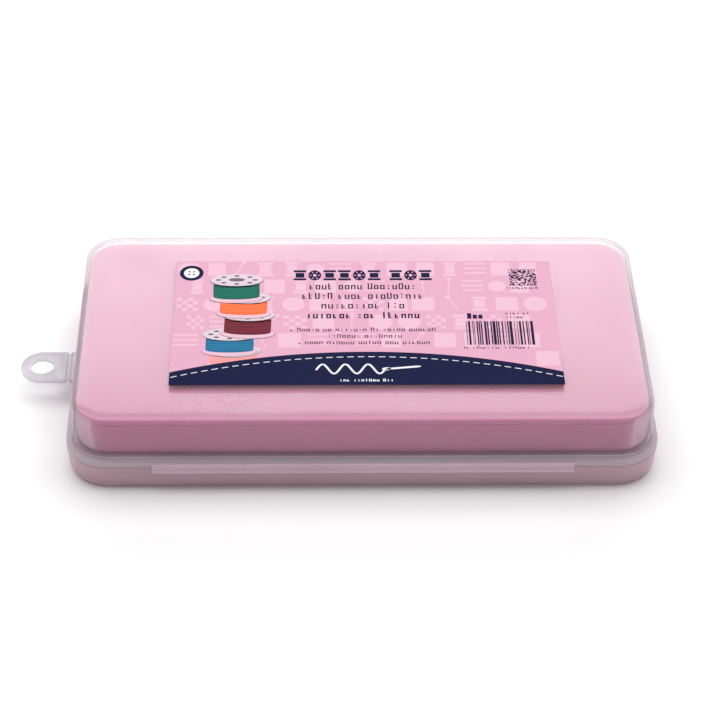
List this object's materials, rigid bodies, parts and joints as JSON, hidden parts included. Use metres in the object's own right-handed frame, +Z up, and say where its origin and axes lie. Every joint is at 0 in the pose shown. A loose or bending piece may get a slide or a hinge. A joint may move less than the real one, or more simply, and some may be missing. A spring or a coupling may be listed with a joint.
{
  "type": "bobbin box",
  "caption": "Clear hinged plastic case with a foam insert of round bobbin pockets, a snap catch and a fold-out hang tab.",
  "frame": {"origin": "centre of the shallow half's underside, on the surface the closed case lies on", "axes": "+X along the case away from the hang tab, +Y from the hinge to the catch, +Z up through the shallow half to the deep half"},
  "size_m": [0.2078, 0.105, 0.0271],
  "materials": {
    "clear_polypropylene": "moulded, slightly milky, see-through",
    "polypropylene_web": "thin flexing moulding, a little whitened",
    "pink_foam": "fine closed-cell foam",
    "printed_paper": "satin printed sticker"
  },
  "bodies": {
    "lid": {"lid_shell": "clear_polypropylene", "hinge_web": "polypropylene_web", "tab_crease": "polypropylene_web"},
    "tray": {"tray_shell": "clear_polypropylene", "foam_block": "pink_foam", "foam_backing": "pink_foam", "label": "printed_paper", "catch_web": "polypropylene_web"},
    "hang_tab": {"hang_tab": "clear_polypropylene"},
    "catch": {"catch_tongue": "clear_polypropylene"}
  },
  "joints": [
    {"name": "case_hinge", "type": "hinge", "parent": "lid", "child": "tray", "pos_m": [0, -0.05185, 0.0091], "axis": [1, 0, 0], "range_deg": [0, 180], "deforming": ["hinge_web"]},
    {"name": "hang_tab_fold", "type": "hinge", "parent": "lid", "child": "hang_tab", "pos_m": [-0.0971, 0, 0.00845], "axis": [0, 1, 0], "range_deg": [-90, 90], "deforming": ["tab_crease"]},
    {"name": "catch_flex", "type": "hinge", "parent": "tray", "child": "catch", "pos_m": [0, 0.0518, 0.00955], "axis": [1, 0, 0], "range_deg": [0, 20], "stiffness_Nm_per_rad": 0.1, "deforming": ["catch_web"]}
  ]
}
